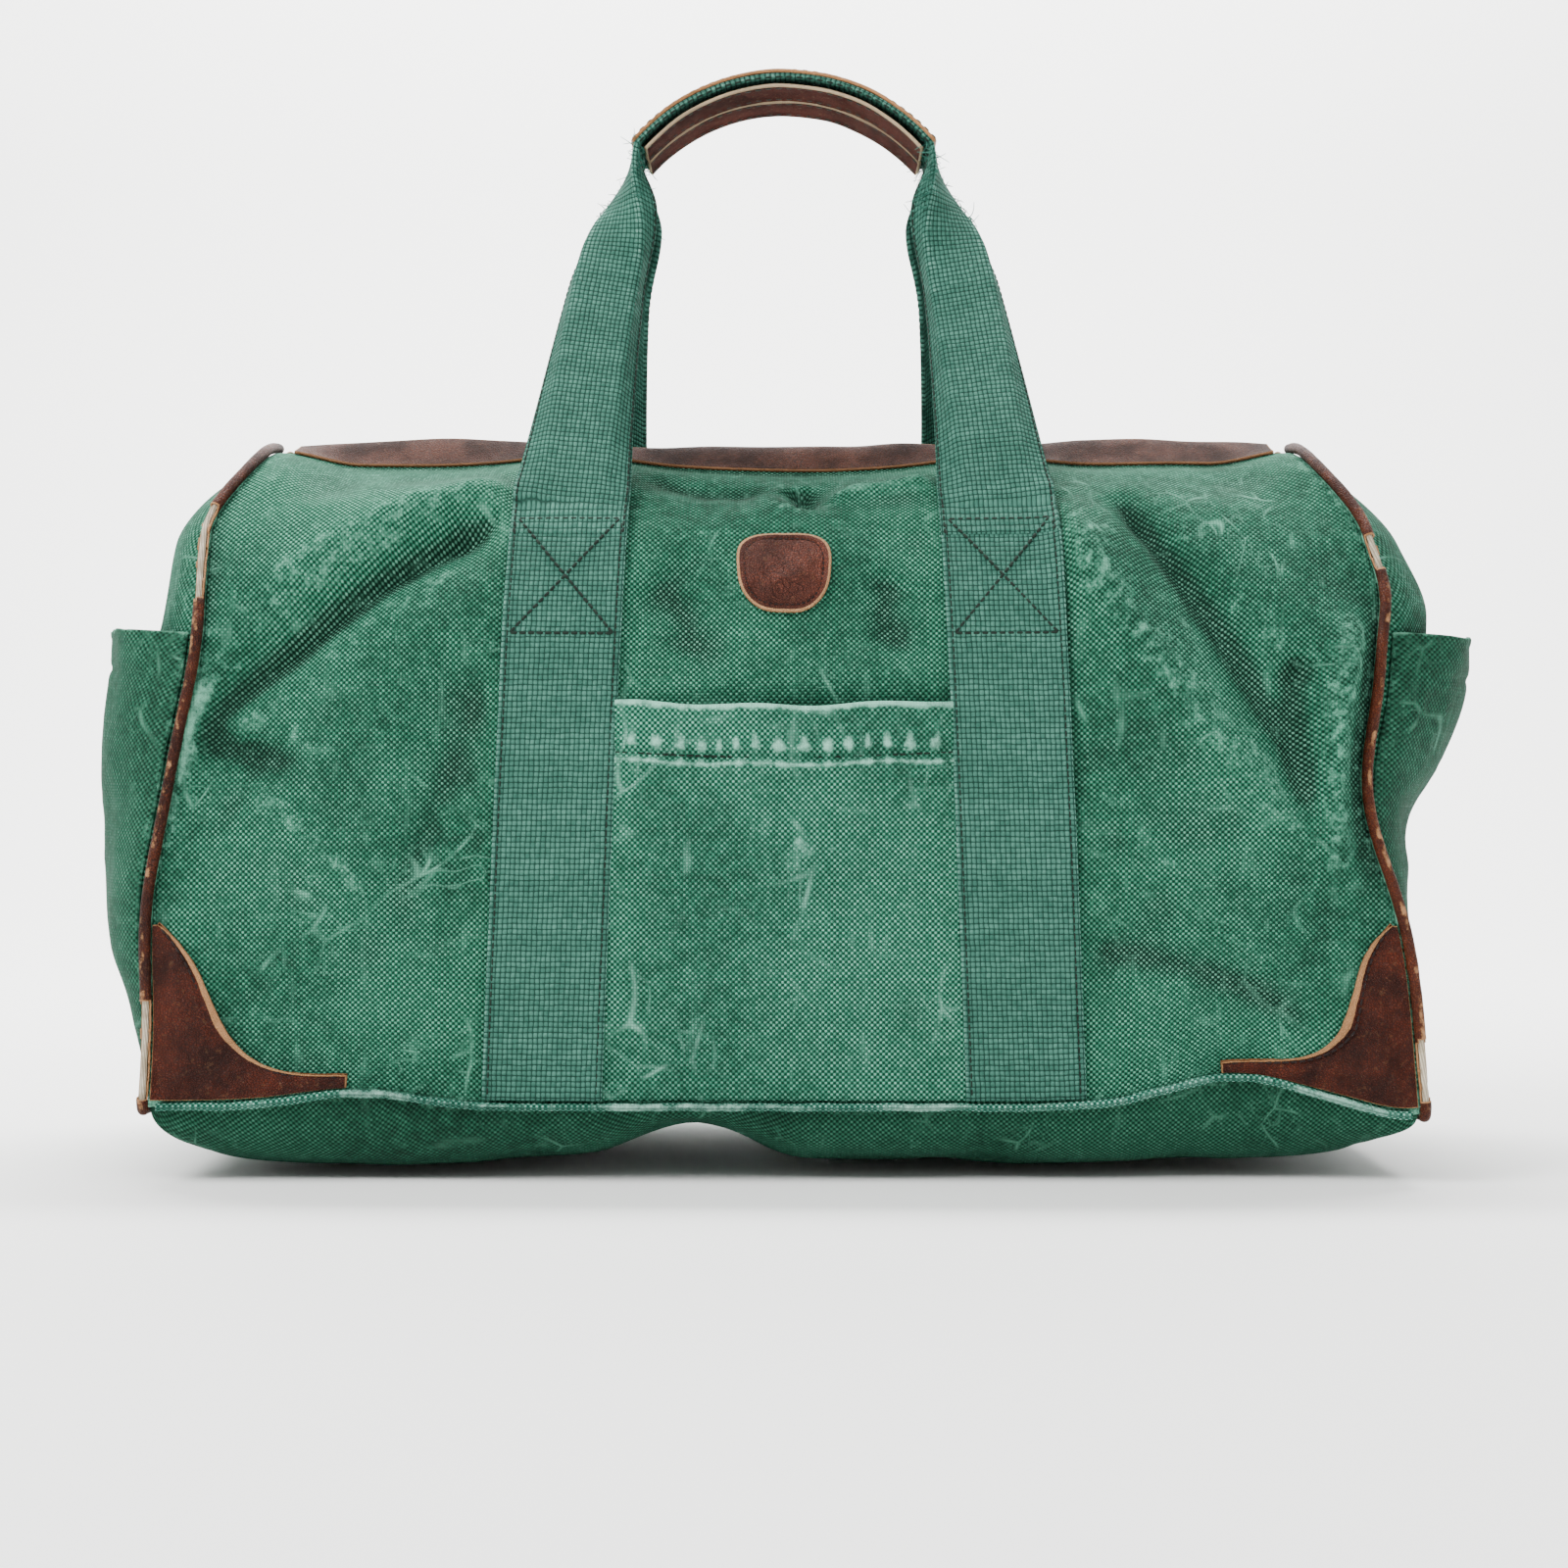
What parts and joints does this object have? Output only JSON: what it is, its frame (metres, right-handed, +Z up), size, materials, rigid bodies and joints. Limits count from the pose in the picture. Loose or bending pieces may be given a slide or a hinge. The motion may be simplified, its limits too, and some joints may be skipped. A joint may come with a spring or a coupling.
{
  "type": "ski boot bag",
  "caption": "Soft zip-top canvas duffel for carrying ski boots, with two webbing handles, end pockets, a front pocket and leather trim.",
  "frame": {"origin": "centre of the bag's footprint, on the surface that it stands on", "axes": "+X along the bag to the right as seen from the front, +Y from the front to the rear, +Z up"},
  "size_m": [0.6382, 0.251, 0.5082],
  "materials": {
    "canvas": "worn waxed cotton canvas, green with pale worn creases",
    "webbing": "faded green basket-weave cotton webbing",
    "leather": "dark reddish-brown bridle leather with worn tan edges",
    "piping_cord": "undyed cotton cord",
    "zip_tape": "black woven zip tape",
    "zip_coil": "black nylon coil",
    "zip_metal": "black enamelled die-cast metal, worn at its edges"
  },
  "bodies": {
    "bag_body": {"front_panel": "canvas", "rear_panel": "canvas", "bottom_panel": "canvas", "left_end_panel": "canvas", "right_end_panel": "canvas", "front_pocket": "canvas", "left_end_pocket": "canvas", "right_end_pocket": "canvas", "front_left_corner": "leather", "front_right_corner": "leather", "rear_left_corner": "leather", "rear_right_corner": "leather", "front_left_strap": "webbing", "front_right_strap": "webbing", "rear_left_strap": "webbing", "rear_right_strap": "webbing", "left_piping": "leather", "right_piping": "leather", "lower_piping_cords": "piping_cord", "front_welt": "canvas", "rear_welt": "canvas", "zip_stops": "zip_metal"},
    "front_mouth": {"front_top_panel": "canvas", "front_left_gusset": "canvas", "front_right_gusset": "canvas", "front_left_box_strap": "webbing", "front_right_box_strap": "webbing", "badge": "leather", "front_left_piping": "leather", "front_right_piping": "leather", "front_piping_cords": "piping_cord", "front_facing": "leather", "front_zip_tape": "zip_tape", "front_zip_coil": "zip_coil"},
    "rear_mouth": {"rear_top_panel": "canvas", "rear_left_gusset": "canvas", "rear_right_gusset": "canvas", "rear_left_box_strap": "webbing", "rear_right_box_strap": "webbing", "rear_left_piping": "leather", "rear_right_piping": "leather", "rear_piping_cords": "piping_cord", "rear_facing": "leather", "rear_zip_tape": "zip_tape", "rear_zip_coil": "zip_coil"},
    "front_handle": {"front_handle_webbing": "webbing", "front_grip_cover": "leather", "front_grip_lining": "leather"},
    "rear_handle": {"rear_handle_webbing": "webbing", "rear_grip_cover": "leather", "rear_grip_lining": "leather"},
    "slider": {"zip_slider": "zip_metal"},
    "pull": {"zip_link": "zip_metal", "pull_tab": "leather"}
  },
  "joints": [
    {"name": "front_mouth_open", "type": "hinge", "parent": "bag_body", "child": "front_mouth", "pos_m": [0, -0.1122, 0.244], "axis": [1, 0, 0], "range_deg": [0, 35]},
    {"name": "rear_mouth_open", "type": "hinge", "parent": "bag_body", "child": "rear_mouth", "pos_m": [0, 0.1122, 0.244], "axis": [-1, 0, 0], "range_deg": [0, 35]},
    {"name": "front_handle_swing", "type": "hinge", "parent": "front_mouth", "child": "front_handle", "pos_m": [0, -0.0869, 0.2979], "axis": [1, 0, 0], "range_deg": [0, 130]},
    {"name": "rear_handle_swing", "type": "hinge", "parent": "rear_mouth", "child": "rear_handle", "pos_m": [0, 0.0869, 0.2979], "axis": [-1, 0, 0], "range_deg": [0, 130]},
    {"name": "zip_slide", "type": "slide", "parent": "front_mouth", "child": "slider", "axis": [-1, 0, 0], "range_m": [0, 0.4]},
    {"name": "pull_swing", "type": "hinge", "parent": "slider", "child": "pull", "pos_m": [0.2, 0, 0.3317], "axis": [0, 1, 0], "range_deg": [0, 180]}
  ],
  "couplings": [
    {"joint": "rear_mouth_open", "follows": "front_mouth_open", "ratio": 1}
  ]
}
